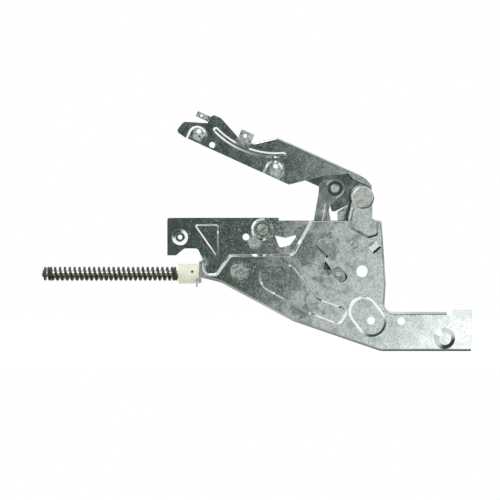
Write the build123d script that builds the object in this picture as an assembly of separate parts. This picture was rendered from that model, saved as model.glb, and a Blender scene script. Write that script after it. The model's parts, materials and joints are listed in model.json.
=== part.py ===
from build123d import *
import math
import os

os.makedirs("parts", exist_ok=True)

# Dishwasher door hinge, millimetres. X runs along the base, Z is up, Y runs away from the viewer.
# The origin is the centre of the base's locating hole, on the front face of the raised panel.

# Sheet metal
PLATE_T = 1.5                      # base sheet
ARM_T = 1.8                        # door arm sheet
BEND_R = 2.0                       # outside bend radius of the base flanges
WALL_SLOPE = 45                    # slope of the pressed walls, degrees from straight
STEP = 2.0                         # depth of the recessed upper left panel
BOX_DEPTH = 15.0                   # front face to the inside of the back plate
FOOT_DEPTH = 9.0                   # depth of the flanges along the foot
EPS = 0.05                         # overlap used when pieces of one solid are joined
FAR = BOX_DEPTH + 3 * PLATE_T      # reach of a cut that goes right through
WIDE = 400.0                       # reach of a cut that clears a whole side

# Base plate: edges, then the outline as x, z and corner radius
BASE_LEFT = -140.5
BASE_TOP = 38.6
PANEL_TOP = 36.6                   # top edge of the raised panel
PANEL_RIGHT = 14.0
FOOT_TOP = -29.5
FOOT_LOW = -57.6
FOOT_END = 79.0
FOOT_LEAN = 0.6                    # the end edge comes in this far at its lower corner
FOOT_START = 16.0
NOTCH = (61.0, 65.5)
NOTCH_LOW = -32.6
END_TOP = -28.0
LIP_Z = 11.4                       # lower edge of the base's upper left corner
BASE_OUTLINE = [
    (BASE_LEFT, BASE_TOP, 1.5), (-60.0, BASE_TOP, 0), (-60.0, PANEL_TOP, 0), (PANEL_RIGHT, PANEL_TOP, 1.5),
    (15.0, 25.5, 0), (17.2, -8.0, 0), (FOOT_START, FOOT_TOP, 6.5), (NOTCH[0], FOOT_TOP, 0),
    (NOTCH[0], NOTCH_LOW, 0), (NOTCH[1], NOTCH_LOW, 0), (NOTCH[1], END_TOP, 0), (FOOT_END, END_TOP, 0),
    (FOOT_END - FOOT_LEAN, FOOT_LOW, 0), (13.0, FOOT_LOW, 14), (-50.0, -36.0, 22), (-102.0, -8.0, 22),
    (-115.3, -4.8, 0), (-115.3, 9.0, 0), (-118.4, 16.4, 3), (-128.0, 16.4, 3), (-134.2, LIP_Z, 0),
    (BASE_LEFT, LIP_Z, 0),
]
RECESS = [
    (-150.0, 60.0, 0), (-37.5, 60.0, 0), (-38.5, 34.5, 3), (-49.8, 14.0, 3), (-53.0, 12.3, 3),
    (-95.5, 12.3, 3), (-105.5, -1.6, 3), (-111.5, -1.6, 3), (-115.2, 5.0, 3), (-116.5, 10.0, 0),
    (-150.0, 10.0, 0),
]
RECESS_BACK = 2.4                  # the sheet's rear follows the recess this far outside its floor
FLANGE_SPAN = (-115.0, 60.0)       # the bent edges lie between these
FLANGE_TOP = 9.5                   # left of the panel, the bent edges lie below this
OPEN_TOP = 30.0                    # the upper edges are open above this
OPEN_LEFT = -106.0                 # and the left end up to this
PANEL_OPEN = -36.0                 # right of this the open top edge belongs to the raised panel
FOOT_FROM = 18.5                   # the foot's shallower flanges start here
END_FROM = 76.0                    # the foot's end edge is open above the corner
END_OPEN = -43.0
CORNER_FROM = 75.0                 # and the lower flange stops here, so that the two can be bent
NOTCH_OPEN = -37.0                 # the flange is cleared round the notch down to this

# Pressed features of the recessed panel
TRIANGLE = [(-121.5, 33.8, 1.5), (-103.4, 33.8, 1.5), (-103.4, 8.0, 1.5)]
TRIANGLE_RISE = 1.0
PRESS_WALL = 1.9                   # sheet left between a raised wall and the pocket behind it
BOSS = (-71.9, 30.1)
BOSS_R = 8.1
BOSS_RISE = 1.6
STUD_R = 3.9
STUD_WELL_R = 5.5
WELL_WALL = 1.2
SCREW_DIMPLE = (-131.3, 24.6)
DIMPLE_R = 5.8
DIMPLE_FLOOR_R = 3.4
DIMPLE_DEPTH = 1.9
SCREW_R = 1.6
SMALL_HOLE = (-83.7, 24.7)
SMALL_HOLE_R = 2.4
D_OPENING = [
    (-63.2, 26.8, 1.8), (-58.2, 29.1, 1.8), (-49.2, 28.6, 1.8), (-47.5, 25.0, 1.8), (-52.0, 18.9, 1.8),
    (-59.4, 16.9, 1.8),
]
D_TAB = [(-64.5, 26.0, 0), (-59.0, 31.5, 0), (-48.0, 30.5, 0), (-46.5, 26.5, 0), (-55.0, 24.0, 0)]
D_TAB_Y = 0.9                      # the tab is set this far behind the sheet
D_TAB_ROOT = 29.0                  # above this the tab meets the sheet
LIP_X = -134.6
LIP_DEPTH = 6.0

# Pressed features of the raised panel and the foot
COMMA = [
    (-73.0, 3.8, 7), (-51.5, 3.8, 5), (-31.5, -21.0, 8), (-11.0, -28.2, 3), (-16.5, -37.8, 4),
    (-38.0, -29.3, 8), (-73.0, -9.9, 10),
]
COMMA_DEPTH = 1.3
COMMA_WALL = 2.0
PIP = (-5.7, 19.2)
PIP_R = 3.0
PIP_RISE = 0.5
PIP_WALL = 1.2
OVAL_A = (0.9, -28.8)
OVAL_B = (6.6, -36.4)
OVAL_R = 10.9
OVAL_RISE = 1.9
OVAL_WALL = 2.4
HOLE_R = 4.2
FOOT_HOLE_A = (6.2, -35.5)
FOOT_HOLE_B = (28.1, -35.9)
FOOT_HOLE_R = 2.8
DOME = (59.3, -48.4)
DOME_R = 7.6
DOME_TOP_R = 4.6
DOME_RISE = 2.2
CLIP_A = (-26.6, 17.0)
CLIP_A_SIZE = (12.5, 6.0, 2.3)     # length, width and lift of the stood-up strip
CLIP_A_TURN = -45
CLIP_B = (8.6, 17.6)
CLIP_B_SIZE = (7.0, 4.2, 1.9)
CLIP_B_TURN = 40
CLIP_SLIT = 1.6                    # open slit in front of a stood-up strip
WINDOW_A = (-25.6, 2.2)
WINDOW_A_SIZE = (10.5, 4.6)
WINDOW_A_TURN = -55
WINDOW_B = (-16.6, -2.4)
WINDOW_B_SIZE = (13.0, 7.6)
WINDOW_B_TURN = -42
GUIDE_RIVET = (-90.5, 0.2)
RIVET_R = 2.0
RIVET_HEAD_R = 4.3
RIVET_HEAD = 0.9

# Main pivot, link and crank: a parallelogram, so the crank turns as far as the arm does
PIVOT = (0.4, 53.0)
ARM_PIN = (-19.7, 6.7)             # link pin seen from the pivot, and crank pin seen from the crank stud
CRANK = (-15.0, -14.2)             # crank stud
ROD_PIN = (-2.1, 12.3)             # rod pin seen from the crank stud
REST_TURN = 24.46                  # the arm stands this far open in the modelled pose, degrees
PIVOT_R = 3.5
LINK_PIN_R = 3.3
CRANK_STUD_R = 3.0
CRANK_PIN_R = 2.5
ROD_PIN_R = 2.2
RUN_FIT = 0.08                     # radial clearance of a turning fit
LOOSE_FIT = 0.3                    # radial clearance of a guide
OPEN_FIT = 0.15                    # radial clearance of the link on the crank's pin
SLOT_SIDE = 0.75                   # side clearance of the rod pin in its slot, which takes up the arc

# Layers, front to back
ARM_BACK = 5.6                     # front face of the arm's back leaf
LINK_Y = 3.1                       # front face of the link
LINK_T = 2.0
CRANK_Y = 5.5                      # front face of the crank
CRANK_T = 2.2
ROD_Y = 9.2                        # axis of the spring rod
BLADE_T = 2.0                      # flattened end of the spring rod
EAR_RISE = 2.0                     # the pivot ear stands this far in front of the panel

# Pivot ear
EAR_PANEL = [
    (-11.6, PANEL_TOP, 0), (-11.4, 33.5, 2.8), (-8.8, 30.6, 2.8), (4.4, 23.6, 2.8), (11.6, 25.6, 2.8),
    (11.6, PANEL_TOP, 0),
]
EAR_SLOPE = 38
EAR_NECK = [
    (-10.0, 32.0, 0), (-10.2, 39.0, 0), (-7.6, 50.0, 0), (3.6, 50.0, 0), (3.8, 43.0, 0), (5.6, 38.6, 0),
    (9.9, PANEL_TOP, 0), (10.0, 32.0, 0),
]
EAR_HEAD = (-0.5, 54.2)            # the ear's round end, a little up and left of the pin it carries
EAR_HEAD_R = 8.0
EAR_WALL = 1.6
EAR_MOUTH = 8.0                    # the pocket behind the ear runs this far past the panel's top edge
EAR_RIB = [(-8.6, 36.5), (-7.9, 41.5), (-7.0, 45.6)]
EAR_RIB_W = 2.2
EAR_RIB_RISE = 0.7

# Back plate
BACK_MASK = [
    (-120, 7.6, 0), (-38, 7.6, 0), (-38, 33, 0), (20, 33, 0), (20, -19, 0), (-6, -24, 0), (-6, -60, 0),
    (-120, -60, 0),
]
BACK_EAR = [
    (-17.1, 30.0, 0), (-17.1, 43.2, 0), (-9.4, 48.0, 0), (-7.6, 53.0, 0), (8.4, 53.0, 0), (8.4, 30.0, 0),
]
BACK_LIP = [(-17.1, 43.2, 0), (-9.4, 48.0, 0), (-8.2, 46.1, 0), (-15.9, 41.3, 0)]
BACK_LIP_Y = 11.0                  # the ear's slanting edge is bent forward to here
LUG_R = 8.0
LUG_LOW = 4.0
FLANGE_LEFT = -117.5
FLANGE_FRONT = 2.2
FLANGE_Z = (-8.4, 7.4)
FLANGE_BRIDGE = -113.5             # the back plate reaches the flange over this stretch
BRIDGE_Z = (-4.5, 7.5)
HOOK_X = (-119.6, -118.6)          # small hook below the end flange
HOOK_Z = (-11.3, -5.6)
HOOK_Y = (1.2, 2.7)
HOOK_T = 1.0
PEG_ROOM = 0.8                     # the back plate's hole is this much wider than the locating hole

# Door arm, drawn level with its pivot at the origin
ARM_TOP = 14.2
ARM_LOW = -13.5
WEB_T = 1.8
ARM_OUTLINE = [
    (-134.5, ARM_LOW, 1.2), (-142.4, -12.2, 2.6), (-140.2, -3.6, 2.6), (-124.2, 2.5, 0), (-123.9, 9.9, 3.2),
    (-116.6, 9.9, 3.2), (-99.6, 2.4, 0), (-89.4, 2.4, 0), (-73.8, ARM_TOP, 3.2), (-9.5, ARM_TOP, 0),
    (-3.4, 13.2, 0), (2.6, 10.6, 0), (1.4, 9.3, 0), (-12.0, 9.3, 0), (-17.0, 11.4, 0), (-23.1, 7.6, 0),
    (-31.4, 3.3, 0), (-52.2, ARM_LOW, 1.2),
]
WEB = [
    (-70.0, ARM_TOP, 0), (-9.5, ARM_TOP, 0), (-3.4, 13.2, 0), (2.6, 10.6, 0), (1.8, 9.0, 0), (-4.0, 11.4, 0),
    (-9.7, ARM_TOP - WEB_T, 0), (-70.0, ARM_TOP - WEB_T, 0),
]
BACK_LEAF = [
    (-60.0, 13.6, 0), (-46.0, -5.5, 0), (-28.5, -5.5, 0), (-25.0, -9.0, 0), (-22.6, -9.4, 0),
    (-16.2, -18.0, 1.2), (-14.0, -17.2, 1.2), (-7.2, -8.8, 0), (0.0, -8.5, 0), (8.5, 0.0, 0),
    (2.4, 10.6, 0), (-3.4, 13.0, 0), (-9.5, 14.0, 0),
]
LEAF_EYE_R = 8.5
LEAF_PIN_R = 7.4
WEB_BEND_R = 1.6
ARCH_R = 6.6
ARCH_Z = -8.2
ARCHES = [-127.2, -66.6]
ARCH_RISE = 1.5
DOOR_SCREW_R = 1.6
DOOR_SCREW_Z = -5.4
ARM_HOLE = (-114.4, -10.3)
ARM_HOLE_R = 2.1
BEAD = [(-116.4, 0.6), (-92.0, -3.4), (-65.0, 4.3)]
BEAD_W = 4.2
BEAD_RISE = 1.3
TAB_X = (-99.6, -89.6)             # clip tab that stands in the valley
TAB_Z = (1.0, 8.6)
TAB_FRONT = -3.6
TAB_T = 1.2
TAB_ROOT = 1.6
TAB_BEND = 1.1
TAB_HOLE = (-95.4, 5.4)
TAB_HOLE_R = 1.3
SLIM_X = (-134.2, -121.0)          # slim lug beside the lobe
SLIM_Z = (3.8, 7.8)
SLIM_Y = 2.4
SLIM_ROOT = -123.4
SLIM_HOLE = (-130.2, 5.8)
SLIM_HOLE_R = 1.0

# Pull link
LINK_EYE_R = 6.7
LINK_LOW_R = 6.2
LINK_BODY = [
    (-31.0, 62.0, 0), (-31.2, 57.0, 0), (-34.6, 37.5, 0), (-37.5, 22.0, 0), (-40.4, -4.0, 0),
    (-29.0, -4.0, 0), (-24.5, 18.0, 0), (-22.2, 35.0, 0), (-23.9, 44.0, 0), (-22.6, 48.0, 0),
    (-14.5, 55.0, 0), (-14.5, 64.5, 0), (-20.0, 66.3, 0), (-27.5, 66.3, 0),
]
LINK_RIB = (-27.2, 38.0)
LINK_RIB_SIZE = (22.0, 3.0)
LINK_RIB_TURN = 80
LINK_RIB_RISE = 0.7
LINK_RIM_R = 5.6                   # the upper eye has a raised rim outside this

# Pins, studs and washers
CRANK_EYE_R = 6.0
CRANK_LINK_R = 5.6
CRANK_ROD_R = 4.0
CRANK_PIN_OUT = 0.3                # the crank's link pin stands this far behind it
ROD_PIN_OUT = 0.6                  # the rod pin stands this far past the crank and the blade
STUD_FRONT = 4.4
STUD_SHOULDER_Y = 10.8
STUD_SHOULDER_R = 5.5
RIVETED_HEAD_R = 4.8               # upset rear head of a stud
RIVETED_HEAD = 1.0
SLEEVE_R = 3.9
SIDE_PLAY = 0.1
CLIP_RING_R = 5.0
CLIP_RING_Y = (4.7, 5.3)
PIVOT_HEAD_R = 8.1                 # the pivot's wide flat head, which covers the ear's round end
PIVOT_HEAD = 1.0
PIVOT_REAR_R = 5.0
SPACER_R = 5.6
SPACER_PLAY = 0.15
LINK_PIN_FRONT = 1.4
LINK_PIN_EDGE = 0.5
LINK_HEAD_R = 4.4
WASHER_R = 5.4
WASHER_Y = (2.4, 2.9)
SPACER_STUD_R = 6.0
SPACER_STUD_FRONT = 0.9

# Spring, rod, guide and seat
ROD_Z = -1.9
ROD_R = 2.5
SPRING_LEFT = -228.4
SPRING_RIGHT = -132.8
SPRING_OD = 10.4
WIRE = 1.8
TURNS = 28
STEPS_A_TURN = 12                  # straight steps in each turn of the wire
WIRE_SIDES = 6                     # the round wire is drawn with this many sides
SPRING_PLAY = 0.2
TIP_R = 1.8
TIP_LENGTH = 3.5
ROUND_END = -46.0
BLADE_H = 6.0
BLADE_ROOT = 3.0
YOKE_SIDE = 2.6
YOKE_TOP = 3.6
YOKE_LOW = -9.5
SLOT_ROOM = 0.6
END_WASHER_R = 4.9
END_WASHER_T = 1.4
END_CAP_R = 2.6
END_CAP_T = 1.0
SEAT_R = 7.2
SEAT_RIGHT = -117.6                # right face of the spring seat, against the back plate's end flange
SEAT_MARK = (-122.5, -0.5)
SEAT_MARK_R = 0.8
SEAT_MARK_DEPTH = 2.0
GUIDE_X = (-97.0, -84.0)
GUIDE_Z = (-7.4, 4.6)
GUIDE_REAR = 12.6
GUIDE_RIVET_END = 5.2
GUIDE_RIVET_ROOM = 0.2


def slab(face, front, back):
    """Solid of a face drawn in X and Z, between two depths."""
    return extrude(Plane.XZ.offset(-back) * face, amount=back - front)


def rise(face, base, height, slope=WALL_SLOPE):
    """Pressed-out block that narrows towards the viewer."""
    return extrude(Plane.XZ.offset(-base) * face, amount=height, taper=slope)


def sink(face, top, depth, slope=WALL_SLOPE):
    """Cutter for a pressed-in panel: the face is its floor, and it widens towards the viewer."""
    return extrude(Plane.XZ.offset(-top - depth) * face, amount=depth, taper=-slope)


def disc(point, radius):
    return Pos(point[0], point[1]) * Circle(radius)


def pin(point, radius, front, back):
    return slab(disc(point, radius), front, back)


def ring(point, outer, inner, front, back):
    return slab(disc(point, outer) - disc(point, inner), front, back)


def block(x, y, z):
    """Box between two limits on each axis."""
    size = (x[1] - x[0], y[1] - y[0], z[1] - z[0])
    middle = ((x[0] + x[1]) / 2, (y[0] + y[1]) / 2, (z[0] + z[1]) / 2)
    return Pos(*middle) * Box(*size)


def outline(points):
    """Face through points given as x, z and corner radius."""
    face = make_face(Polyline(*[(x, z) for x, z, radius in points], close=True))
    for x, z, radius in points:
        if radius:
            face = fillet(face.vertices().sort_by_distance((x, z, 0))[0], radius)
    return face


def stadium(at, size, turn):
    return Pos(*at) * Rot(0, 0, turn) * SlotOverall(*size)


def shifted(a, b):
    return (a[0] + b[0], a[1] + b[1])


def press_out(solid, face, level, height, wall=PRESS_WALL):
    """Raise a panel of the sheet towards the viewer, and follow it with a pocket behind."""
    solid += rise(face, level + EPS, height + EPS)
    return solid - slab(offset(face, -wall), level - height + PLATE_T, level + PLATE_T + EPS)


def press_in(solid, face, depth, wall):
    """Sink a panel of the raised front away from the viewer, with the sheet carried round behind."""
    solid += slab(offset(face, wall), PLATE_T - EPS, PLATE_T + depth)
    return solid - sink(face, 0, depth)


def stand_up(solid, at, size, turn):
    """Cut the sheet and stand the cut strip up along one side, as a low louvre with an open slit."""
    length, width, lift = size
    half = length / 2
    place = Pos(at[0], 0, at[1]) * Rot(0, -turn, 0) * Pos(0, 0, -width / 2)
    solid -= place * block((-half, half), (-lift, PLATE_T + EPS), (-CLIP_SLIT, width))
    section = [(0, -lift), (width + EPS, 0), (width + EPS, PLATE_T), (0, PLATE_T - lift)]
    strip = make_face(Polyline(*[(y, z) for z, y in section], close=True))
    return solid + place * extrude(Plane.YZ.offset(-half) * strip, amount=length)


def make_front_plate():
    face = outline(BASE_OUTLINE)
    recess = outline(RECESS)
    floor_y = STEP + PLATE_T
    plate = slab(face, 0, BOX_DEPTH)
    bends = plate.edges().filter_by(lambda e: e.center().Y < EPS)
    bends = bends.filter_by(lambda e: FLANGE_SPAN[0] < e.center().X < FLANGE_SPAN[1])
    bends = bends.filter_by(lambda e: e.center().Z < FLANGE_TOP or e.center().X > PANEL_RIGHT + EPS)
    plate = fillet(bends, BEND_R)
    inside = offset(face, -PLATE_T)
    plate -= slab(inside, floor_y, BOX_DEPTH + EPS)
    plate -= slab(inside - offset(recess, RECESS_BACK), PLATE_T, floor_y + EPS)
    # Edges that carry no flange are opened, and the foot's flanges are trimmed to their own depth
    plate -= block((-WIDE, WIDE), (floor_y, FAR), (OPEN_TOP, WIDE))
    plate -= block((PANEL_OPEN, WIDE), (PLATE_T, FAR), (OPEN_TOP, WIDE))
    plate -= block((-WIDE, OPEN_LEFT), (floor_y, FAR), (-WIDE, WIDE))
    plate -= block((FOOT_FROM, WIDE), (FOOT_DEPTH, FAR), (-WIDE, FOOT_TOP + BEND_R))
    plate -= block((END_FROM, WIDE), (PLATE_T, FAR), (END_OPEN, FOOT_TOP + BEND_R))
    plate -= block((CORNER_FROM, WIDE), (PLATE_T, FAR), (-WIDE, FOOT_LOW + BEND_R))
    plate -= block((NOTCH[0] - EPS, WIDE), (PLATE_T, FAR), (NOTCH_OPEN, FOOT_TOP + BEND_R))
    plate -= sink(recess, 0, STEP)
    # Recessed panel
    plate = press_out(plate, outline(TRIANGLE), STEP, TRIANGLE_RISE)
    plate = press_out(plate, disc(BOSS, BOSS_R), STEP, BOSS_RISE)
    plate -= pin(BOSS, STUD_WELL_R, 0, STEP)
    plate += pin(BOSS, STUD_WELL_R + WELL_WALL, STEP - EPS, floor_y)
    plate -= pin(BOSS, STUD_R, 0, floor_y + EPS)
    plate += pin(SCREW_DIMPLE, DIMPLE_R, floor_y - EPS, floor_y + DIMPLE_DEPTH)
    dimple_slope = math.degrees(math.atan2(DIMPLE_R - DIMPLE_FLOOR_R, DIMPLE_DEPTH))
    plate -= sink(disc(SCREW_DIMPLE, DIMPLE_FLOOR_R), STEP, DIMPLE_DEPTH, dimple_slope)
    plate -= pin(SCREW_DIMPLE, SCREW_R, 0, FAR)
    plate -= pin(SMALL_HOLE, SMALL_HOLE_R, 0, FAR)
    plate -= slab(outline(D_OPENING), 0, FAR)
    tab = outline(D_TAB)
    plate += slab(tab, floor_y + D_TAB_Y, floor_y + D_TAB_Y + PLATE_T)
    root = slab(tab, floor_y - EPS, floor_y + D_TAB_Y + EPS)
    plate += root & block((-WIDE, WIDE), (0, FAR), (D_TAB_ROOT, WIDE))
    plate += block((BASE_LEFT, LIP_X), (STEP, STEP + LIP_DEPTH), (LIP_Z, LIP_Z + PLATE_T))
    # Raised panel and foot
    plate = press_in(plate, outline(COMMA), COMMA_DEPTH, COMMA_WALL)
    plate = press_out(plate, disc(PIP, PIP_R), 0, PIP_RISE, PIP_WALL)
    oval = make_hull((disc(OVAL_A, OVAL_R) + disc(OVAL_B, OVAL_R)).edges())
    plate = press_out(plate, oval, 0, OVAL_RISE, OVAL_WALL)
    dome_slope = math.degrees(math.atan2(DOME_R - DOME_TOP_R, DOME_RISE))
    plate += rise(disc(DOME, DOME_R), EPS, DOME_RISE + EPS, dome_slope)
    plate -= pin(DOME, DOME_TOP_R - WELL_WALL, PLATE_T - DOME_RISE, PLATE_T + EPS)
    plate -= pin((0, 0), HOLE_R, -FAR, FAR)
    plate -= pin(FOOT_HOLE_A, FOOT_HOLE_R, -FAR, FAR)
    plate -= pin(FOOT_HOLE_B, FOOT_HOLE_R, -FAR, FAR)
    plate = stand_up(plate, CLIP_A, CLIP_A_SIZE, CLIP_A_TURN)
    plate = stand_up(plate, CLIP_B, CLIP_B_SIZE, CLIP_B_TURN)
    plate -= slab(stadium(WINDOW_A, WINDOW_A_SIZE, WINDOW_A_TURN), 0, PLATE_T + EPS)
    plate -= slab(stadium(WINDOW_B, WINDOW_B_SIZE, WINDOW_B_TURN), 0, PLATE_T + EPS)
    plate -= pin(GUIDE_RIVET, RIVET_R, -PLATE_T, PLATE_T + EPS)
    # Pivot ear: a panel pressed forward out of the sheet, with a ribbed neck and a round head
    panel = outline(EAR_PANEL)
    plate += rise(panel, EPS, EAR_RISE + EPS, EAR_SLOPE)
    mouth_x = (EAR_PANEL[0][0] + EAR_WALL, EAR_PANEL[-1][0] - EAR_WALL)
    mouth = Pos(sum(mouth_x) / 2, PANEL_TOP) * Rectangle(mouth_x[1] - mouth_x[0], EAR_MOUTH)
    ear_y = (-EAR_RISE, PLATE_T - EAR_RISE)
    plate -= slab(offset(panel, -EAR_WALL) + mouth, ear_y[1], PLATE_T + EPS)
    plate += slab(outline(EAR_NECK), *ear_y) + pin(EAR_HEAD, EAR_HEAD_R, *ear_y)
    rib = trace(ThreePointArc(*EAR_RIB), EAR_RIB_W)
    plate += rise(rib, ear_y[0] + EPS, EAR_RIB_RISE + EPS)
    return plate - pin(PIVOT, PIVOT_R, -FAR, PLATE_T)


back_rear = BOX_DEPTH + PLATE_T
rod_line = Pos(0, ROD_Y, ROD_Z) * Rot(0, 90, 0)


def rod_piece(radius, left, right):
    """Round bar on the rod's axis."""
    return rod_line * Pos(0, 0, (left + right) / 2) * Cylinder(radius, right - left)


def make_back_plate():
    """Plate that closes the box, with the rear ear, the stud's lug and the spring seat's end flange."""
    face = outline(BASE_OUTLINE) & outline(BACK_MASK)
    face += Pos(BOSS[0], (BOSS[1] + LUG_LOW) / 2) * Rectangle(2 * LUG_R, BOSS[1] - LUG_LOW)
    face += disc(BOSS, LUG_R) + outline(BACK_EAR) + disc(PIVOT, LUG_R)
    plate = slab(face, BOX_DEPTH, back_rear)
    plate += block((FLANGE_LEFT, FLANGE_BRIDGE), (BOX_DEPTH, back_rear), BRIDGE_Z)
    plate += slab(outline(BACK_LIP), BACK_LIP_Y, BOX_DEPTH + EPS)
    plate += block((FLANGE_LEFT, FLANGE_LEFT + PLATE_T), (FLANGE_FRONT, back_rear), FLANGE_Z)
    plate += block((HOOK_X[0], FLANGE_LEFT + EPS), HOOK_Y, (HOOK_Z[1] - HOOK_T, HOOK_Z[1]))
    plate += block(HOOK_X, HOOK_Y, HOOK_Z)
    plate -= rod_piece(ROD_R + 2 * LOOSE_FIT, HOOK_X[0] - PLATE_T, FLANGE_LEFT + 2 * PLATE_T)
    holes = [((0, 0), HOLE_R + PEG_ROOM), (PIVOT, PIVOT_R), (BOSS, STUD_R), (CRANK, CRANK_STUD_R)]
    for at, radius in holes:
        plate -= pin(at, radius, 0, FAR)
    return plate


turn = math.radians(REST_TURN)
link_pin_level = (
    ARM_PIN[0] * math.cos(turn) - ARM_PIN[1] * math.sin(turn),
    ARM_PIN[0] * math.sin(turn) + ARM_PIN[1] * math.cos(turn),
)
arm_rear = ARM_BACK + ARM_T


def make_door_arm():
    """Channel folded over its top edge: a long front leaf, a web and a short back leaf with both eyes."""
    arm = slab(outline(ARM_OUTLINE), 0, ARM_T) + slab(outline(WEB), 0, arm_rear)
    back_leaf = outline(BACK_LEAF) + disc((0, 0), LEAF_EYE_R) + disc(link_pin_level, LEAF_PIN_R)
    arm += slab(back_leaf, ARM_BACK, arm_rear)
    top_edges = arm.edges().filter_by(Axis.X).filter_by_position(Axis.Z, ARM_TOP - EPS, ARM_TOP + EPS)
    arm = fillet(top_edges.sort_by(SortBy.LENGTH)[-2:], WEB_BEND_R)
    for x in ARCHES:
        reach = ARCH_Z - ARM_LOW + ARCH_RISE
        arch = disc((x, ARCH_Z), ARCH_R) + Pos(x, ARCH_Z - reach) * Rectangle(2 * ARCH_R, 2 * reach)
        arm += rise(arch, EPS, ARCH_RISE + EPS) - block((-WIDE, WIDE), (-FAR, FAR), (-WIDE, ARM_LOW))
        hollow = offset(arch, -PRESS_WALL)
        arm -= slab(hollow, ARM_T - ARCH_RISE, ARM_T + EPS)
        arm -= pin((x, DOOR_SCREW_Z), DOOR_SCREW_R, -FAR, FAR)
    bead = trace(ThreePointArc(*BEAD), BEAD_W) + disc(BEAD[0], BEAD_W / 2) + disc(BEAD[2], BEAD_W / 2)
    arm += rise(bead, EPS, BEAD_RISE + EPS)
    arm -= pin(ARM_HOLE, ARM_HOLE_R, -FAR, FAR)
    tab = block(TAB_X, (TAB_FRONT, TAB_FRONT + TAB_T), TAB_Z)
    tab += block(TAB_X, (TAB_FRONT, ARM_T / 2), (TAB_Z[0], TAB_Z[0] + TAB_ROOT))
    fold = tab.edges().filter_by(Axis.X).sort_by_distance((TAB_HOLE[0], TAB_FRONT, TAB_Z[0]))[0]
    tab = fillet(fold, TAB_BEND) - pin(TAB_HOLE, TAB_HOLE_R, -FAR, FAR)
    slim_y = (SLIM_Y, SLIM_Y + TAB_T)
    slim = block(SLIM_X, slim_y, SLIM_Z) + block((SLIM_ROOT, SLIM_X[1]), (ARM_T / 2, slim_y[1]), SLIM_Z)
    arm += tab + (slim - pin(SLIM_HOLE, SLIM_HOLE_R, -FAR, FAR))
    arm -= pin((0, 0), PIVOT_R + RUN_FIT, -FAR, FAR)
    arm -= pin(link_pin_level, LINK_PIN_R, ARM_BACK - RUN_FIT, FAR)
    return Pos(PIVOT[0], 0, PIVOT[1]) * Rot(0, REST_TURN, 0) * arm


link_top = shifted(PIVOT, ARM_PIN)
link_low = shifted(CRANK, ARM_PIN)
rod_pin_at = shifted(CRANK, ROD_PIN)
crank_rear = CRANK_Y + CRANK_T
blade_y = (ROD_Y - BLADE_T / 2, ROD_Y + BLADE_T / 2)


def make_pull_link():
    """Hangs from the arm's pin and keeps its direction, with a waist that clears the pivot pin."""
    face = outline(LINK_BODY) + disc(link_top, LINK_EYE_R) + disc(link_low, LINK_LOW_R)
    link = slab(face, LINK_Y, LINK_Y + LINK_T)
    link += rise(stadium(LINK_RIB, LINK_RIB_SIZE, LINK_RIB_TURN), LINK_Y + EPS, LINK_RIB_RISE + EPS)
    link += ring(link_top, LINK_EYE_R, LINK_RIM_R, LINK_Y - LINK_RIB_RISE, LINK_Y + EPS)
    link -= pin(link_top, LINK_PIN_R + RUN_FIT, 0, FAR)
    return link - pin(link_low, CRANK_PIN_R + OPEN_FIT, 0, FAR)


def make_crank():
    eyes = disc(CRANK, CRANK_EYE_R) + disc(link_low, CRANK_LINK_R) + disc(rod_pin_at, CRANK_ROD_R)
    crank = slab(make_hull(eyes.edges()), CRANK_Y, crank_rear)
    crank -= pin(CRANK, CRANK_STUD_R + RUN_FIT, 0, FAR)
    crank -= pin(link_low, CRANK_PIN_R, 0, FAR)
    return crank - pin(rod_pin_at, ROD_PIN_R, 0, FAR)


def make_crank_stud():
    stud = pin(CRANK, CRANK_STUD_R, STUD_FRONT, back_rear + EPS)
    stud += pin(CRANK, STUD_SHOULDER_R, STUD_SHOULDER_Y, BOX_DEPTH)
    return stud + pin(CRANK, RIVETED_HEAD_R, back_rear, back_rear + RIVETED_HEAD)


def make_pivot_pin():
    """Rivet with a wide flat head on the ear and an upset head behind the back plate."""
    head = rise(disc(PIVOT, PIVOT_HEAD_R), -EAR_RISE, PIVOT_HEAD)
    shank = pin(PIVOT, PIVOT_R, -EAR_RISE - EPS, back_rear + EPS)
    return head + shank + pin(PIVOT, PIVOT_REAR_R, back_rear, back_rear + RIVETED_HEAD)


def make_link_pin():
    rivet = pin(link_top, LINK_PIN_R, LINK_PIN_FRONT, arm_rear + EPS)
    rivet = chamfer(rivet.edges().sort_by(Axis.Y)[0], LINK_PIN_EDGE)
    return rivet + pin(link_top, LINK_HEAD_R, arm_rear, arm_rear + RIVETED_HEAD)


def make_spacer_stud():
    stud = pin(BOSS, STUD_R, SPACER_STUD_FRONT, back_rear + EPS)
    stud += pin(BOSS, SPACER_STUD_R, STEP + PLATE_T, BOX_DEPTH)
    return stud + pin(BOSS, RIVETED_HEAD_R, back_rear, back_rear + RIVETED_HEAD)


def make_guide_rivet():
    rivet = pin(GUIDE_RIVET, RIVET_R, -EPS, GUIDE_RIVET_END)
    return rivet + pin(GUIDE_RIVET, RIVET_HEAD_R, -RIVET_HEAD, 0)


def make_rod_guide():
    guide = block(GUIDE_X, (PLATE_T, GUIDE_REAR), GUIDE_Z)
    guide -= rod_piece(ROD_R + LOOSE_FIT, GUIDE_X[0] - PLATE_T, GUIDE_X[1] + PLATE_T)
    return guide - pin(GUIDE_RIVET, RIVET_R, 0, GUIDE_RIVET_END + GUIDE_RIVET_ROOM)


spring_end = SPRING_LEFT - SPRING_PLAY      # the rod's shoulder, against which the end washer stands
washer_end = spring_end - END_WASHER_T
tip_end = spring_end - TIP_LENGTH


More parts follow.
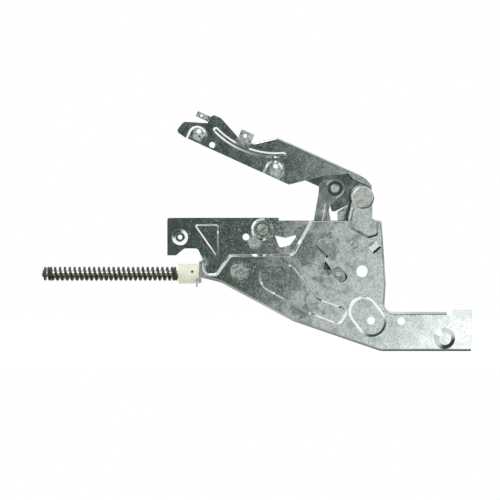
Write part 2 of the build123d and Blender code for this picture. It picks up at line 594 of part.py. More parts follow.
def make_spring_rod():
    """Round rod with a thin tip and a flattened, hooked end that drops over the crank's rod pin."""
    rod = rod_piece(ROD_R, spring_end, ROUND_END) + rod_piece(TIP_R, tip_end, spring_end + EPS)
    slot_x = rod_pin_at[0]
    slot_half = ROD_PIN_R + SLOT_SIDE
    root = ROUND_END - BLADE_ROOT
    face = Pos((root + slot_x) / 2, ROD_Z) * Rectangle(slot_x - root, BLADE_H)
    yoke_half = slot_half + YOKE_SIDE
    face += Pos(slot_x, (YOKE_TOP + YOKE_LOW) / 2) * Rectangle(2 * yoke_half, YOKE_TOP - YOKE_LOW)
    slot_top = ROD_Z + ROD_PIN_R + SLOT_ROOM
    face -= Pos(slot_x, slot_top + YOKE_LOW) * Rectangle(2 * slot_half, -2 * YOKE_LOW)
    return rod + slab(face, *blade_y)


def on_tip(radius, left, right):
    """Ring on the rod's thin tip."""
    return rod_piece(radius, left, right) - rod_piece(TIP_R, left - PLATE_T, right + PLATE_T)


def make_spring_seat():
    left = SPRING_RIGHT + SPRING_PLAY
    seat = rod_piece(SEAT_R, left, SEAT_RIGHT)
    seat -= rod_piece(ROD_R + LOOSE_FIT, left - PLATE_T, SEAT_RIGHT + PLATE_T)
    front = ROD_Y - SEAT_R
    return seat - pin(SEAT_MARK, SEAT_MARK_R, front - PLATE_T, front + SEAT_MARK_DEPTH)


def make_spring():
    """Compression spring: the wire's section carried round the rod in short straight steps."""
    coil_r = (SPRING_OD - WIRE) / 2
    length = SPRING_RIGHT - SPRING_LEFT - WIRE
    steps = TURNS * STEPS_A_TURN
    sections = []
    for step in range(steps + 1):
        angle = 2 * math.pi * step / STEPS_A_TURN
        outward = (math.cos(angle), math.sin(angle), 0)
        at = (coil_r * outward[0], coil_r * outward[1], length * step / steps)
        section = Plane(origin=at, x_dir=outward, z_dir=(-outward[1], outward[0], 0))
        sections.append(section * RegularPolygon(WIRE / 2, WIRE_SIDES))
    return rod_line * Pos(0, 0, SPRING_LEFT + WIRE / 2) * loft(sections, ruled=True)


NODES = {
    "front_plate": make_front_plate(),
    "back_plate": make_back_plate(),
    "spacer_stud": make_spacer_stud(),
    "pivot_pin": make_pivot_pin(),
    "pivot_spacer": ring(PIVOT, SPACER_R, PIVOT_R, arm_rear + SPACER_PLAY, BOX_DEPTH),
    "crank_stud": make_crank_stud(),
    "crank_sleeve": ring(CRANK, SLEEVE_R, CRANK_STUD_R, crank_rear + SIDE_PLAY, STUD_SHOULDER_Y),
    "crank_clip": ring(CRANK, CLIP_RING_R, CRANK_STUD_R, *CLIP_RING_Y),
    "rod_guide": make_rod_guide(),
    "guide_rivet": make_guide_rivet(),
    "spring_seat": make_spring_seat(),
    "door_arm": make_door_arm(),
    "link_pin": make_link_pin(),
    "link_washer": ring(link_top, WASHER_R, LINK_PIN_R, *WASHER_Y),
    "pull_link": make_pull_link(),
    "crank": make_crank(),
    "crank_link_pin": pin(link_low, CRANK_PIN_R, LINK_Y, crank_rear + CRANK_PIN_OUT),
    "crank_rod_pin": pin(rod_pin_at, ROD_PIN_R, CRANK_Y - ROD_PIN_OUT, blade_y[1] + ROD_PIN_OUT),
    "spring_rod": make_spring_rod(),
    "end_washer": on_tip(END_WASHER_R, washer_end, spring_end),
    "end_cap": on_tip(END_CAP_R, washer_end - END_CAP_T, washer_end),
    "spring": make_spring(),
}
for name, solid in NODES.items():
    export_step(solid, f"parts/{name}.step")
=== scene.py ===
import json
import math
from collections import namedtuple

import bpy
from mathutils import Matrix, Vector

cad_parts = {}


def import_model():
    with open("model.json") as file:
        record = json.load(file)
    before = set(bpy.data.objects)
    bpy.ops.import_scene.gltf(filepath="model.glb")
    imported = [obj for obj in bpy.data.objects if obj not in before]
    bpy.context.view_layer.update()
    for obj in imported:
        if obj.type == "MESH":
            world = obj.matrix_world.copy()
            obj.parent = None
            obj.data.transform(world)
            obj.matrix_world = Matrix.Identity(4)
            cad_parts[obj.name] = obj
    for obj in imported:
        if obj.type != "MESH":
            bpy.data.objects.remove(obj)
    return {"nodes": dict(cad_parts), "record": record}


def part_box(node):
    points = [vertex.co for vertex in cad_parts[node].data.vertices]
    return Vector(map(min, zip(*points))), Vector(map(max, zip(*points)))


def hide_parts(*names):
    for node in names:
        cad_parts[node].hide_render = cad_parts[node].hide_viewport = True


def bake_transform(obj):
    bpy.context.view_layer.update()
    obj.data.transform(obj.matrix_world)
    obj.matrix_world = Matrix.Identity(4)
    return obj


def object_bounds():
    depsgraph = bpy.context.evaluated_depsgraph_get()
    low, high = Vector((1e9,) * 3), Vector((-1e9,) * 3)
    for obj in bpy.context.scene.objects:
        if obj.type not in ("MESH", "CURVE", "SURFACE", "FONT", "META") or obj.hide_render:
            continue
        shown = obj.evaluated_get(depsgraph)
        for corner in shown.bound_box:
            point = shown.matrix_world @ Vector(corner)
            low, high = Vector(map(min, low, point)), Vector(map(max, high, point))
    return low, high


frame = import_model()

cad_low, cad_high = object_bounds()
MM = 0.001

# Camera: straight on to the front of the base, framed as in the photograph
CAMERA_DISTANCE = 1.2
FRAME_WIDTH = 0.36
FRAME_X, FRAME_Z = -80.8 * MM, 15.3 * MM
SENSOR_MM = 36.0
CLIP_START = 0.01

# Floor: small, pale and just under the foot
FLOOR_GAP = 0.6 * MM
FLOOR_X = (-0.75, 0.55)
FLOOR_Y = (-0.16, 0.60)
FLOOR_PALE = (0.8, 0.8, 0.8, 1.0)
FLOOR_WHITE = 1.09
FLOOR_SEEN = 0.9
WHITE = (1.0, 1.0, 1.0, 1.0)

# Room that the metal reflects: white at the sides, shaded low on the right, and mid grey in a belt round the
# camera's side. Within the belt it is dark round the camera, with a wall that rises to bright on the right.
# The belt, the dark cone and the backdrop are given as cosines from the line of sight
ROOM_BRIGHT = (1.05, 1.05, 1.05, 1.0)
ROOM_SHADE = (0.06, 0.075, 0.066, 1.0)
SHADE_X, SHADE_Z = -0.55, 0.75
SHADE_EDGE = (-0.78, -0.12)
ROOM_MID = (0.40, 0.42, 0.41, 1.0)
MID_BELT = (0.35, 0.62)
CAMERA_SIDE = (0.068, 0.096, 0.082, 1.0)
DARK_CONE = (0.925, 0.972)
WALL_GREY = (1.17, 1.21, 1.20, 1.0)
WALL_RISE = (0.046, 0.072)
WALL_BRIGHT = (1.62, 1.62, 1.61, 1.0)
WALL_TOP = (0.112, 0.165)
WALL_SLANT = 0.45
BACKDROP = (0.45, 0.8)

# Soft box above the camera's left
FILL_AT = (-0.7, -0.9, 0.9)
FILL_SIZE = 1.1
FILL_RADIANCE = 2.5

# Noise: the size of its cells, its detail and roughness, where it starts, and the values at which it counts
# as none and as full; without those two it is left as it is
Pattern = namedtuple("Pattern", "size detail roughness offset none full", defaults=(0.55, 0.0, None, None))
NO_STRETCH = (1.0, 1.0, 1.0)

# How square a face stands to the front where it starts and stops counting as a sloping wall
WALL_LEANS = (0.97, 0.88)
WALL_STANDS = (0.2, 0.45)
# How far the rounded normal has turned along an edge
EDGE_TURN = (0.995, 0.8)
BEVEL_SAMPLES = 8


class Nodes:
    """The nodes of a material or world, added and linked by short calls."""

    def __init__(self, owner):
        owner.use_nodes = True
        self.owner = owner
        self.tree = owner.node_tree

    def add(self, kind, settings=None, **sockets):
        """New node; sockets named by their place or name take a number, a colour or another output."""
        node = self.tree.nodes.new(kind)
        for key, value in (settings or {}).items():
            setattr(node, key, value)
        for key, value in sockets.items():
            self.put(node, key, value)
        return node

    def put(self, node, key, value):
        """Set or link one socket; i0 is the first, and a name has _ for a space."""
        by_place = key[0] == "i" and key[1:].isdigit()
        socket = node.inputs[int(key[1:])] if by_place else node.inputs[key.replace("_", " ")]
        if isinstance(value, bpy.types.NodeSocket):
            self.tree.links.new(value, socket)
        else:
            socket.default_value = value

    def math(self, operation, a, b=0.0):
        return self.add("ShaderNodeMath", {"operation": operation}, i0=a, i1=b).outputs[0]

    def times(self, a, b):
        return self.math("MULTIPLY", a, b)

    def plus(self, a, b):
        return self.math("ADD", a, b)

    def most(self, a, b):
        return self.math("MAXIMUM", a, b)

    def without(self, a):
        """One less this."""
        return self.math("SUBTRACT", 1.0, a)

    def mix(self, factor, a, b):
        """Blend of two colours."""
        return self.add("ShaderNodeMix", {"data_type": "RGBA"}, i0=factor, i6=a, i7=b).outputs[2]

    def span(self, value, low, high, to_low=0.0, to_high=1.0):
        """Value carried smoothly from one span to another, held at its ends."""
        kind = {"interpolation_type": "SMOOTHSTEP"}
        ends = {"i1": low, "i2": high, "i3": to_low, "i4": to_high}
        return self.add("ShaderNodeMapRange", kind, i0=value, **ends).outputs[0]

    def split(self, vector):
        """The X, Y and Z of a place or direction."""
        return self.add("ShaderNodeSeparateXYZ", i0=vector).outputs

    def place(self):
        """Place on the piece, in metres, fixed to it."""
        return self.add("ShaderNodeTexCoord").outputs["Object"]

    def facing(self):
        """Way that the surface faces, fixed to the piece."""
        return self.split(self.add("ShaderNodeTexCoord").outputs["Normal"])

    def pattern(self, kind, stretch=NO_STRETCH):
        """Noise fixed to the piece."""
        start = (kind.offset, kind.offset, kind.offset)
        moved = self.add("ShaderNodeMapping", Vector=self.place(), Location=start, Scale=stretch).outputs[0]
        settings = {"Scale": 1.0 / kind.size, "Detail": kind.detail, "Roughness": kind.roughness}
        noise = self.add("ShaderNodeTexNoise", Vector=moved, **settings).outputs[0]
        return noise if kind.none is None else self.span(noise, kind.none, kind.full)

    def near(self, centre, inner, outer):
        """One within a distance of a place on the piece, none beyond a greater one."""
        away = self.add("ShaderNodeVectorMath", {"operation": "DISTANCE"}, i0=self.place(), i1=centre)
        return self.span(away.outputs["Value"], inner, outer, 1.0, 0.0)

    def sloped(self):
        """One on walls that lean between facing the front and standing square to it."""
        front = self.math("ABSOLUTE", self.facing()["Y"])
        return self.times(self.span(front, *WALL_LEANS), self.span(front, *WALL_STANDS))

    def rounded(self, radius):
        """Normal of a piece whose corners are rounded by this much."""
        return self.add("ShaderNodeBevel", {"samples": BEVEL_SAMPLES}, Radius=radius).outputs[0]

    def edge(self, bend):
        """One along the outer and inner bends of a piece, none on its flats."""
        normal = self.add("ShaderNodeNewGeometry").outputs["Normal"]
        dot = self.add("ShaderNodeVectorMath", {"operation": "DOT_PRODUCT"}, i0=bend, i1=normal)
        return self.span(dot.outputs["Value"], *EDGE_TURN)

    def bump(self, height, depth, normal=None):
        node = self.add("ShaderNodeBump", Strength=1.0, Distance=depth, Height=height)
        if normal:
            self.put(node, "Normal", normal)
        return node.outputs[0]

    def finish(self, **sockets):
        """The material, with its surface's sockets set."""
        for key, value in sockets.items():
            self.put(self.tree.nodes["Principled BSDF"], key, value)
        return self.owner


# Zinc: tones of the plates, the link and the arm
STEEL_DARK, STEEL_PALE = (0.62, 0.66, 0.64, 1.0), (0.82, 0.85, 0.83, 1.0)
LINK_DARK, LINK_PALE = (0.22, 0.25, 0.23, 1.0), (0.56, 0.60, 0.57, 1.0)
ARM_DARK, ARM_PALE = (0.52, 0.57, 0.54, 1.0), (0.74, 0.77, 0.75, 1.0)
TONE = Pattern(9 * MM, 3.0, 0.6, none=0.34, full=0.68)
ZINC_ROUGH = 0.10
LINK_ROUGH = 0.14

# Zinc: clouds of pale bloom, dark between them, and none on two spots (place, inner and outer distance)
BLOOM = Pattern(8 * MM, 5.0, 0.70, 0.37, none=0.37, full=0.58)
BLOOM_AND_SPOT_PALE = (0.80, 0.85, 0.87, 1.0)
BLOOM_SHARE = 0.75
BLOOM_HAZE = 0.16
FAINT_BLOOM = 0.3
CLOUD_DARK = (0.23, 0.28, 0.29, 1.0)
CLOUD_SHARE = 0.60
CLOUDY_PANEL = ((-0.003, 0.0, -0.005), 0.040, 0.078)
UNBLOOMED = [((-0.0556, 0.0, -0.0055), 0.009, 0.018), ((-0.0400, 0.0, 0.0170), 0.008, 0.018)]

# Zinc: spots painted pale, some of them painted highlights, and spots painted dark, some of them painted
# shade (place, radius, share)
BASE_PALE_SPOTS = [
    ((-0.0775, 0.001, 0.0215), 0.0062, 1.3),     # beside the boss
    ((-0.0885, 0.0, 0.0), 0.0075, 1.0),          # round the guide rivet
    ((0.0, -0.002, 0.042), 0.0110, 1.3),         # ear's neck
    ((-0.030, 0.0, 0.033), 0.0085, 0.6),         # top edge
    # painted highlight on the strap's upper end
    ((-0.0298, -0.0015, 0.0198), 0.0032, 1.6),   # strap, upper end
    ((-0.0238, -0.0015, 0.0140), 0.0032, 1.2),   # strap, lower end
    ((-0.1168, 0.003, 0.0060), 0.0065, 1.6),     # beside the spring seat, above
    ((-0.1168, 0.003, -0.0055), 0.0065, 1.6),    # and below
]
# Pale spots on the arm; the two on the screw seats are painted highlights on the domed arches
ARM_PALE_SPOTS = [
    # painted highlight on the domed arch of the outer screw seat
    ((-0.1170, 0.0, 0.0985), 0.0062, 2.0),       # outer screw seat
    # painted highlight on the domed arch of the inner screw seat
    ((-0.0615, 0.0, 0.0730), 0.0066, 2.0),       # inner screw seat
    ((-0.0842, -0.003, 0.0965), 0.0078, 2.0),    # clip tab
    ((-0.1165, 0.0025, 0.1120), 0.0070, 1.6),    # slim lug
    ((-0.0370, 0.0, 0.0800), 0.0130, 0.25),      # middle of the broad end
]
# Painted highlights on the link, mixed in as pale spots
LINK_HIGHLIGHT_SPOTS = [
    # painted highlight on the rim of the link's eye
    ((-0.0150, 0.0020, 0.0545), 0.0045, 1.8),    # below the link pin
    # painted highlight along the link's rib
    ((-0.0272, 0.0030, 0.0425), 0.0030, 1.2),    # neck
]
BASE_DARK_SPOTS = [
    ((0.0086, -0.0010, 0.0176), 0.0042, 0.75),   # raised clip by the ear
    # painted shade inside the box, seen through the upper window
    ((-0.0256, 0.015, 0.0022), 0.0090, 0.85),    # behind the upper window
    # painted shade inside the box, seen through the lower window
    ((-0.0166, 0.015, -0.0024), 0.0090, 0.80),   # behind the lower window
]
PATCHES = Pattern(2.5 * MM, 4.0, 0.7, 0.6, none=0.30, full=0.60)
PALE_SPOT_INNER, PALE_SPOT_OUTER = 0.55, 1.1
DARK_SPOT_INNER, DARK_SPOT_OUTER = 0.7, 1.1

# Zinc: fine specks and flecks, fewer specks on the smooth foot, and hair scratches along the part
SPECKS = Pattern(1.5 * MM, 2.0, 0.8, 0.7, none=0.60, full=0.36)
GRAIN_DARK = (0.24, 0.29, 0.26, 1.0)
SPECK_SHARE = 0.47
SMOOTH_FOOT = ((0.0680, 0.0, -0.0450), 0.014, 0.052)
SMOOTH_SHARE = 0.45
SCRATCHES = Pattern(0.9 * MM, 2.0, 0.6, 0.15, none=0.66, full=0.72)
SCRATCH_STRETCH = (0.05, 1.0, 1.3)
SCRATCH_SHARE = 0.30
FLECKS = Pattern(0.85 * MM, 2.0, 0.7, 0.8, none=0.48, full=0.68)
FLECK_HAZE = 0.12

# Zinc: bends and sloped walls painted pale, partly as edge wear and partly as painted highlights, brightest
# on the lower panel, the recess and the arm, and duller along the bead between
BEND_RADIUS = 0.25 * MM
EDGE_WEAR_AND_HIGHLIGHT = 0.7
BEND_PALE_SHARE = 0.8
WEAR_AND_HIGHLIGHT_PALE = (0.60, 0.64, 0.62, 1.0)
WEAR_AND_HIGHLIGHT_BRIGHT = (0.92, 0.94, 0.92, 1.0)
PANEL_LEFT = (-84 * MM, -70 * MM)
PANEL_RIGHT = (45 * MM, 28 * MM)
PANEL_TOP = (6 * MM, 3 * MM)
RECESS_BOTTOM = (15 * MM, 18 * MM)
RECESS_RIGHT = (-50 * MM, -56 * MM)

# Zinc: painted shade on rear faces and steep upper bends, and painted shade under steep lower bends, more of
# it the deeper they lie
REAR_SHADE = (0.26, 0.29, 0.28, 1.0)
REAR_TURN = (0.3, 0.8)
REAR_SHARE = 0.62
FRONT_TURN = (0.0, -0.3)
STEEP = (0.69, 0.60)
UP_TURN = (0.3, 0.6)
UPPER_SHARE = 0.55
# Dark colour of the painted shade under bends and of the dark spots
SHADE_AND_SPOT_DARK = (0.10, 0.11, 0.09, 1.0)
DOWN_TURN = (-0.5, -0.65)
UNDER_SHADE_DEPTHS = (-0.2 * MM, 0.3 * MM)
UNDER_SHADE_SHARES = (0.3, 0.8)

# Zinc: painted shade on the arm's inner leaf, broken up by noise, and the sheet's gentle waves and grain
INNER_LEAF_SHADE = (0.12, 0.16, 0.16, 1.0)
INNER_SHADE_DEPTHS = (3.5 * MM, 5.0 * MM)
INNER_SHADE_NOISE = Pattern(4 * MM, 3.0, 0.6, 0.25)
INNER_SHADE_SPAN = (0.34, 0.66)
INNER_SHADE_SHARES = (0.55, 0.95)
SHEET_WAVES = Pattern(7 * MM, 0.0, 0.5, 0.5)
SHEET_WAVE_DEPTH = 0.018 * MM
SHEET_GRAIN = Pattern(0.7 * MM, 1.0, 0.6, 0.9)
SHEET_GRAIN_DEPTH = 0.006 * MM


def bloomed(s, colour, clouds, pale_spots):
    """Colour with bloom and pale spots over it, some of the spots painted highlights, and the share of bloom
    at each place.
    """
    bloom = s.pattern(BLOOM)
    if clouds:
        share = s.near(*clouds)
        for spot in UNBLOOMED:
            share = s.times(share, s.without(s.near(*spot)))
        gloom = s.times(share, s.without(bloom))
        colour = s.mix(s.times(gloom, CLOUD_SHARE), colour, CLOUD_DARK)
        bloom = s.times(bloom, share)
    else:
        bloom = s.times(bloom, FAINT_BLOOM)
    patches = s.pattern(PATCHES)
    # Pale spots, some of them painted highlights, join the bloom's share
    for place, radius, share in pale_spots:
        spot = s.times(s.near(place, PALE_SPOT_INNER * radius, PALE_SPOT_OUTER * radius), patches)
        bloom = s.most(bloom, s.times(spot, share))
    return s.mix(s.times(bloom, BLOOM_SHARE), colour, BLOOM_AND_SPOT_PALE), bloom


def marked(s, colour, smooth):
    """Colour with dark specks and hair scratches over it."""
    speck = s.times(s.pattern(SPECKS), SPECK_SHARE)
    if smooth:
        speck = s.times(speck, s.without(s.times(s.near(*smooth), SMOOTH_SHARE)))
    colour = s.mix(speck, colour, GRAIN_DARK)
    scratch = s.times(s.pattern(SCRATCHES, SCRATCH_STRETCH), SCRATCH_SHARE)
    return s.mix(scratch, colour, WEAR_AND_HIGHLIGHT_PALE)


def pale_worn_and_highlit_bends(s, colour, bend_wear_and_highlight, at):
    """Colour with its bends and sloped walls painted pale, partly as edge wear and partly as painted
    highlights.
    """
    panel = s.times(s.span(at["X"], *PANEL_LEFT), s.span(at["X"], *PANEL_RIGHT))
    panel = s.times(panel, s.span(at["Z"], *PANEL_TOP))
    recess = s.times(s.span(at["Z"], *RECESS_BOTTOM), s.span(at["X"], *RECESS_RIGHT))
    wear_and_highlight_colour = s.mix(s.most(panel, recess), WEAR_AND_HIGHLIGHT_PALE, WEAR_AND_HIGHLIGHT_BRIGHT)
    return s.mix(s.times(bend_wear_and_highlight, BEND_PALE_SHARE), colour, wear_and_highlight_colour)


def shaded_and_spotted(s, colour, at, dark_spots):
    """Colour with painted shade on rear faces and steep bends, and dark spots on faces that look to the
    front, some of them painted shade.
    """
    facing = s.facing()
    # Painted shade on faces that look to the rear
    colour = s.mix(s.span(facing["Y"], *REAR_TURN, 0.0, REAR_SHARE), colour, REAR_SHADE)
    steep = s.span(s.math("ABSOLUTE", facing["Y"]), *STEEP)
    # Painted shade under steep bends that face down, darker the deeper they lie
    under = s.times(steep, s.span(facing["Z"], *DOWN_TURN))
    under_shade = s.times(under, s.span(at["Y"], *UNDER_SHADE_DEPTHS, *UNDER_SHADE_SHARES))
    colour = s.mix(under_shade, colour, SHADE_AND_SPOT_DARK)
    # Painted shade on steep bends that face up
    above = s.times(steep, s.span(facing["Z"], *UP_TURN))
    colour = s.mix(s.times(above, UPPER_SHARE), colour, REAR_SHADE)
    ahead = s.span(facing["Y"], *FRONT_TURN)
    # Dark spots on front faces; those behind the windows are painted shade
    for place, radius, share in dark_spots:
        spot = s.times(s.near(place, DARK_SPOT_INNER * radius, DARK_SPOT_OUTER * radius), ahead)
        colour = s.mix(s.times(spot, share), colour, SHADE_AND_SPOT_DARK)
    return colour


def zinc(name, dark, pale, rough=ZINC_ROUGH, clouds=None, pale_spots=(), dark_spots=(), smooth=None, inner=None):
    """Zinc plated sheet: clouds of bloom, a fine dark grain, hair scratches, bends painted pale as wear and
    as painted highlights, and painted shade on rear faces, steep bends and the inner leaf.

    clouds and smooth are a place and two distances between which the bloom, or the smoothness, fades;
    pale_spots and dark_spots list places, radii and shares that are painted pale or dark, some of them
    painted highlights and painted shade;
    inner is the two depths between which painted shade darkens the sheet.
    """
    s = Nodes(bpy.data.materials.new(name))
    colour = s.mix(s.pattern(TONE), dark, pale)
    colour, bloom = bloomed(s, colour, clouds, pale_spots)
    colour = marked(s, colour, smooth)
    bend = s.rounded(BEND_RADIUS)
    # Bends and sloped walls: painted pale below, partly as wear and partly as painted highlights
    bend_wear_and_highlight = s.most(s.times(s.edge(bend), EDGE_WEAR_AND_HIGHLIGHT), s.sloped())
    at = s.split(s.place())
    colour = pale_worn_and_highlit_bends(s, colour, bend_wear_and_highlight, at)
    colour = shaded_and_spotted(s, colour, at, dark_spots)
    if inner:
        # Painted shade on the arm's inner leaf, deeper than the front leaf
        inner_shade = s.span(s.pattern(INNER_SHADE_NOISE), *INNER_SHADE_SPAN, *INNER_SHADE_SHARES)
        colour = s.mix(s.times(s.span(at["Y"], *inner), inner_shade), colour, INNER_LEAF_SHADE)
    haze = s.plus(s.times(bloom, BLOOM_HAZE), s.times(s.pattern(FLECKS), FLECK_HAZE))
    roughness = s.plus(s.times(haze, s.without(bend_wear_and_highlight)), rough)
    waves = s.bump(s.pattern(SHEET_WAVES), SHEET_WAVE_DEPTH, bend)
    grain = s.bump(s.pattern(SHEET_GRAIN), SHEET_GRAIN_DEPTH, waves)
    return s.finish(Base_Color=colour, Roughness=roughness, Metallic=1.0, Normal=grain)


# Turned steel of the pins and the rod, whose tip is pale and satin
PIN_DARK, PIN_PALE = (0.50, 0.54, 0.49, 1.0), (0.76, 0.79, 0.73, 1.0)
PIN_RUBBED = (0.88, 0.89, 0.86, 1.0)
PIN_RUB = 0.6
PIN_BEND = 0.4 * MM
PIN_TONE = Pattern(2.4 * MM, 3.0, none=0.35, full=0.68)
PIN_GRAIN = Pattern(0.4 * MM, 2.0, offset=0.4, none=0.35, full=0.68)
TONE_PART, GRAIN_PART = 0.7, 0.3
PIN_GRAIN_DEPTH = 0.006 * MM
PIN_WAVES = Pattern(4 * MM, 0.0, offset=0.5)
PIN_WAVE_DEPTH = 0.06 * MM
PIN_ROUGH = (0.18, 0.36)
cap_low, cap_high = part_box("end_cap")
ROD_TIP = (cad_low.x, (cap_low[1] + cap_high[1]) / 2, (cap_low[2] + cap_high[2]) / 2)
TIP_REACH = (1.6 * MM, 2.6 * MM)
TIP_PALE = (0.92, 0.91, 0.82, 1.0)
TIP_ROUGHER = 0.25
TIP_COATED = 0.9


def turned(name, dark, pale):
    """Satin turned or drawn steel with faint clouds of tone and edges worn pale."""
    s = Nodes(bpy.data.materials.new(name))
    tone = s.pattern(PIN_TONE)
    grain = s.pattern(PIN_GRAIN)
    colour = s.mix(s.plus(s.times(tone, TONE_PART), s.times(grain, GRAIN_PART)), dark, pale)
    bend = s.rounded(PIN_BEND)
    colour = s.mix(s.times(s.edge(bend), PIN_RUB), colour, PIN_RUBBED)
    tip = s.near(ROD_TIP, *TIP_REACH)
    colour = s.mix(tip, colour, TIP_PALE)
    roughness = s.plus(s.span(tone, 0.0, 1.0, *PIN_ROUGH), s.times(tip, TIP_ROUGHER))
    metal = s.without(s.times(tip, TIP_COATED))
    waves = s.bump(s.pattern(PIN_WAVES), PIN_WAVE_DEPTH, bend)
    normal = s.bump(grain, PIN_GRAIN_DEPTH, waves)
    return s.finish(Base_Color=colour, Roughness=roughness, Metallic=metal, Normal=normal)


# Black spring steel
FILM_THIN, FILM_THICK = (0.034, 0.033, 0.021, 1.0), (0.105, 0.100, 0.066, 1.0)
FILM = Pattern(3.0 * MM, 3.0, none=0.35, full=0.7)
FILM_ROUGH = (0.42, 0.28)
SPRING_SPECKS = (0.014, 0.014, 0.010, 1.0)
SPRING_GRAIN = Pattern(0.5 * MM, 2.0, offset=0.5, none=0.35, full=0.68)
SPRING_GRAIN_SHARE = 0.25
SPRING_GRAIN_DEPTH = 0.008 * MM
SPRING_METALLIC = 0.25


def oiled_black(name):
    """Black spring steel under a thin film of oil, browner where the film is thick."""
    s = Nodes(bpy.data.materials.new(name))
    film = s.pattern(FILM)
    grain = s.pattern(SPRING_GRAIN)
    colour = s.mix(film, FILM_THIN, FILM_THICK)
    colour = s.mix(s.times(grain, SPRING_GRAIN_SHARE), colour, SPRING_SPECKS)
    roughness = s.span(film, 0.0, 1.0, *FILM_ROUGH)
    normal = s.bump(grain, SPRING_GRAIN_DEPTH)
    return s.finish(Base_Color=colour, Roughness=roughness, Metallic=SPRING_METALLIC, Normal=normal)


# Plastics: the ivory seat with painted shade in and round its hole, and the dark washer
PLASTIC_GRAIN_DEPTH = 0.01 * MM
IVORY_DARK, IVORY_PALE = (0.80, 0.79, 0.63, 1.0), (0.90, 0.90, 0.74, 1.0)
IVORY_CLOUDS = Pattern(6 * MM, 3.0, none=0.32, full=0.7)
IVORY_GRAIN = Pattern(0.35 * MM, 2.0, offset=0.2)
IVORY_ROUGH = (0.42, 0.55)
DIRT = Pattern(1.6 * MM, 4.0, 0.7, 0.9, none=0.62, full=0.76)
DIRT_BROWN = (0.42, 0.40, 0.32, 1.0)
DIRT_SHARE = 0.25
SEAT_HOLE = (-0.1225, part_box("spring_seat")[0][1] + 1.0 * MM, -0.0005)
HOLE_REACH = (1.05 * MM, 1.45 * MM)
HOLE_SHADE = (0.06, 0.06, 0.05, 1.0)
WASHER_DARK, WASHER_PALE = (0.030, 0.034, 0.032, 1.0), (0.075, 0.080, 0.074, 1.0)
WASHER_CLOUDS = Pattern(1.5 * MM, 3.0, none=0.35, full=0.7)
WASHER_GRAIN = Pattern(0.3 * MM, 2.0, offset=0.6)
WASHER_ROUGH = (0.4, 0.55)


def ivory(name):
    """Ivory moulded plastic with soft clouds of tone, specks of dirt, painted shade round its hole and a
    fine moulded grain.
    """
    s = Nodes(bpy.data.materials.new(name))
    cloud = s.pattern(IVORY_CLOUDS)
    colour = s.mix(cloud, IVORY_DARK, IVORY_PALE)
    colour = s.mix(s.times(s.pattern(DIRT), DIRT_SHARE), colour, DIRT_BROWN)
    # Painted shade in and round the seat's hole
    colour = s.mix(s.near(SEAT_HOLE, *HOLE_REACH), colour, HOLE_SHADE)
    roughness = s.span(cloud, 0.0, 1.0, *IVORY_ROUGH)
    normal = s.bump(s.pattern(IVORY_GRAIN), PLASTIC_GRAIN_DEPTH)
    return s.finish(Base_Color=colour, Roughness=roughness, Normal=normal)


def dark_washer(name):
    """Dark moulded plastic with soft clouds of tone and a fine grain."""
    s = Nodes(bpy.data.materials.new(name))
    cloud = s.pattern(WASHER_CLOUDS)
    colour = s.mix(cloud, WASHER_DARK, WASHER_PALE)
    roughness = s.span(cloud, 0.0, 1.0, *WASHER_ROUGH)
    normal = s.bump(s.pattern(WASHER_GRAIN), PLASTIC_GRAIN_DEPTH)
    return s.finish(Base_Color=colour, Roughness=roughness, Normal=normal)


base_steel = zinc(
    "galvanised_steel", STEEL_DARK, STEEL_PALE,
    clouds=CLOUDY_PANEL, pale_spots=BASE_PALE_SPOTS, dark_spots=BASE_DARK_SPOTS, smooth=SMOOTH_FOOT,
)
materials = {
    "galvanised_steel": base_steel,
    "dark_steel": zinc("dark_steel", LINK_DARK, LINK_PALE, rough=LINK_ROUGH, pale_spots=LINK_HIGHLIGHT_SPOTS),
    "pin_steel": turned("pin_steel", PIN_DARK, PIN_PALE),
    "black_spring": oiled_black("black_spring"),
    "ivory_plastic": ivory("ivory_plastic"),
    "dark_plastic": dark_washer("dark_plastic"),
}
arm_steel = zinc("arm_steel", ARM_DARK, ARM_PALE, pale_spots=ARM_PALE_SPOTS, inner=INNER_SHADE_DEPTHS)


def dress(obj, slot_name):
    """One procedural material all over a piece."""
    obj.data.materials.clear()
    obj.data.materials.append(materials[slot_name])


for row in frame["record"]["subparts"]:
    dress(frame["nodes"][row["node"]], row["material_slot"])
frame["nodes"]["door_arm"].data.materials[0] = arm_steel

# Spring, as the base and the rod hold it
WIRE_R = 0.9 * MM
SPRING_TURNS = 28
END_TURNS = 1.6
CLOSE_PITCH = 2.05 * WIRE_R
WIRE_SIDES = 12
STEPS_A_TURN = 36


def wire_ring(centre, outward):
    """Points round the wire at one step along it."""
    points = []
    for side in range(WIRE_SIDES):
        around = 2 * math.pi * side / WIRE_SIDES
        along = Vector((WIRE_R * math.sin(around), 0, 0))
        points.append(centre + outward * (WIRE_R * math.cos(around)) + along)
    return points


def wire_faces(steps):
    """Faces between the rings, and one at each end of the wire."""
    faces = []
    for step in range(steps):
        for side in range(WIRE_SIDES):
            a = step * WIRE_SIDES + side
            b = step * WIRE_SIDES + (side + 1) % WIRE_SIDES
            faces.append((a, b, b + WIRE_SIDES, a + WIRE_SIDES))
    faces.append(tuple(reversed(range(WIRE_SIDES))))
    faces.append(tuple(range(steps * WIRE_SIDES, (steps + 1) * WIRE_SIDES)))
    return faces


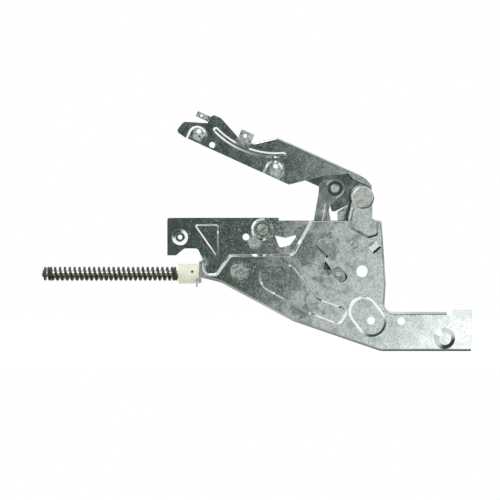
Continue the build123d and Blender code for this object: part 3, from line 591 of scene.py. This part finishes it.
def spring_coil():
    """Round wire wound from the end washer to the seat, with its end turns wound close."""
    low, high = (Vector(corner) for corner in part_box("spring"))
    coil_r = (high.z - low.z) / 2 - WIRE_R
    middle_y, middle_z = (low.y + high.y) / 2, (low.z + high.z) / 2
    start, length = low.x + WIRE_R, high.x - low.x - 2 * WIRE_R
    open_turns = SPRING_TURNS - 2 * END_TURNS
    open_pitch = (length - 2 * END_TURNS * CLOSE_PITCH) / open_turns

    def along(turn):
        first = min(turn, END_TURNS)
        middle = min(max(turn - END_TURNS, 0.0), open_turns)
        last = max(turn - END_TURNS - open_turns, 0.0)
        return start + (first + last) * CLOSE_PITCH + middle * open_pitch

    points = []
    steps = SPRING_TURNS * STEPS_A_TURN
    for step in range(steps + 1):
        turn = step / STEPS_A_TURN
        angle = 2 * math.pi * turn
        outward = Vector((0.0, math.cos(angle), math.sin(angle)))
        centre = Vector((along(turn), middle_y, middle_z)) + outward * coil_r
        points.extend(wire_ring(centre, outward))
    mesh = bpy.data.meshes.new("spring_coil")
    mesh.from_pydata(points, [], wire_faces(steps))
    mesh.update()
    for face in mesh.polygons:
        face.use_smooth = True
    obj = bpy.data.objects.new("spring_coil", mesh)
    bpy.context.collection.objects.link(obj)
    dress(obj, "black_spring")
    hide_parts("spring")
    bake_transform(obj)


def floor():
    """Pale floor under the foot: white to the camera, with the object's soft shadow kept on it."""
    mesh = bpy.data.meshes.new("floor")
    level = cad_low.z - FLOOR_GAP
    (left, right), (near, far) = FLOOR_X, FLOOR_Y
    corners = [(left, near, level), (right, near, level), (right, far, level), (left, far, level)]
    mesh.from_pydata(corners, [], [(0, 1, 2, 3)])
    obj = bpy.data.objects.new("floor", mesh)
    bpy.context.collection.objects.link(obj)
    s = Nodes(bpy.data.materials.new("floor"))
    pale = s.add("ShaderNodeBsdfDiffuse", Color=FLOOR_PALE).outputs[0]
    white = s.add("ShaderNodeEmission", Color=WHITE, Strength=FLOOR_WHITE).outputs[0]
    seen = s.times(s.add("ShaderNodeLightPath").outputs["Is Camera Ray"], FLOOR_SEEN)
    mixed = s.add("ShaderNodeMixShader", i0=seen, i1=pale, i2=white).outputs[0]
    s.put(s.tree.nodes["Material Output"], "Surface", mixed)
    mesh.materials.append(s.owner)
    obj.visible_glossy = False


def world():
    """The room that lights the object and shows in its metal.

    The camera sees white instead, and so does metal that looks towards the backdrop.
    """
    made = bpy.data.worlds.new("studio")
    bpy.context.scene.world = made
    s = Nodes(made)
    way = s.split(s.add("ShaderNodeTexCoord").outputs["Generated"])
    side = s.plus(s.times(way["X"], SHADE_X), s.times(way["Z"], SHADE_Z))
    room = s.mix(s.span(side, *SHADE_EDGE), ROOM_SHADE, ROOM_BRIGHT)
    towards = s.times(way["Y"], -1.0)
    room = s.mix(s.span(towards, *MID_BELT), room, ROOM_MID)
    across = s.math("SUBTRACT", way["X"], s.times(way["Z"], WALL_SLANT))
    wall = s.mix(s.span(across, *WALL_RISE), CAMERA_SIDE, WALL_GREY)
    wall = s.mix(s.span(across, *WALL_TOP), wall, WALL_BRIGHT)
    lit = s.mix(s.span(towards, *DARK_CONE), room, wall)
    rays = s.add("ShaderNodeLightPath").outputs
    backdrop = s.times(rays["Is Glossy Ray"], s.span(way["Y"], *BACKDROP))
    seen = s.most(rays["Is Camera Ray"], backdrop)
    s.put(s.tree.nodes["Background"], "Color", s.mix(seen, lit, WHITE))


def fill_light():
    """Soft box above the camera's left."""
    data = bpy.data.lights.new("fill", "AREA")
    data.shape = "SQUARE"
    data.size = FILL_SIZE
    data.energy = FILL_RADIANCE * math.pi * FILL_SIZE * FILL_SIZE
    obj = bpy.data.objects.new("fill", data)
    obj.location = FILL_AT
    obj.rotation_euler = (-Vector(FILL_AT)).to_track_quat("-Z", "Y").to_euler()
    bpy.context.collection.objects.link(obj)


def camera():
    """Camera level with the middle of the photograph's frame, looking straight along Y."""
    data = bpy.data.cameras.new("camera")
    data.sensor_width = SENSOR_MM
    data.lens = SENSOR_MM * CAMERA_DISTANCE / FRAME_WIDTH
    data.clip_start = CLIP_START
    obj = bpy.data.objects.new("camera", data)
    obj.location = (FRAME_X, -CAMERA_DISTANCE, FRAME_Z)
    obj.rotation_euler = (math.pi / 2, 0.0, 0.0)
    bpy.context.collection.objects.link(obj)
    bpy.context.scene.camera = obj


spring_coil()
floor()
world()
fill_light()
camera()
bpy.context.scene.view_settings.view_transform = "Standard"
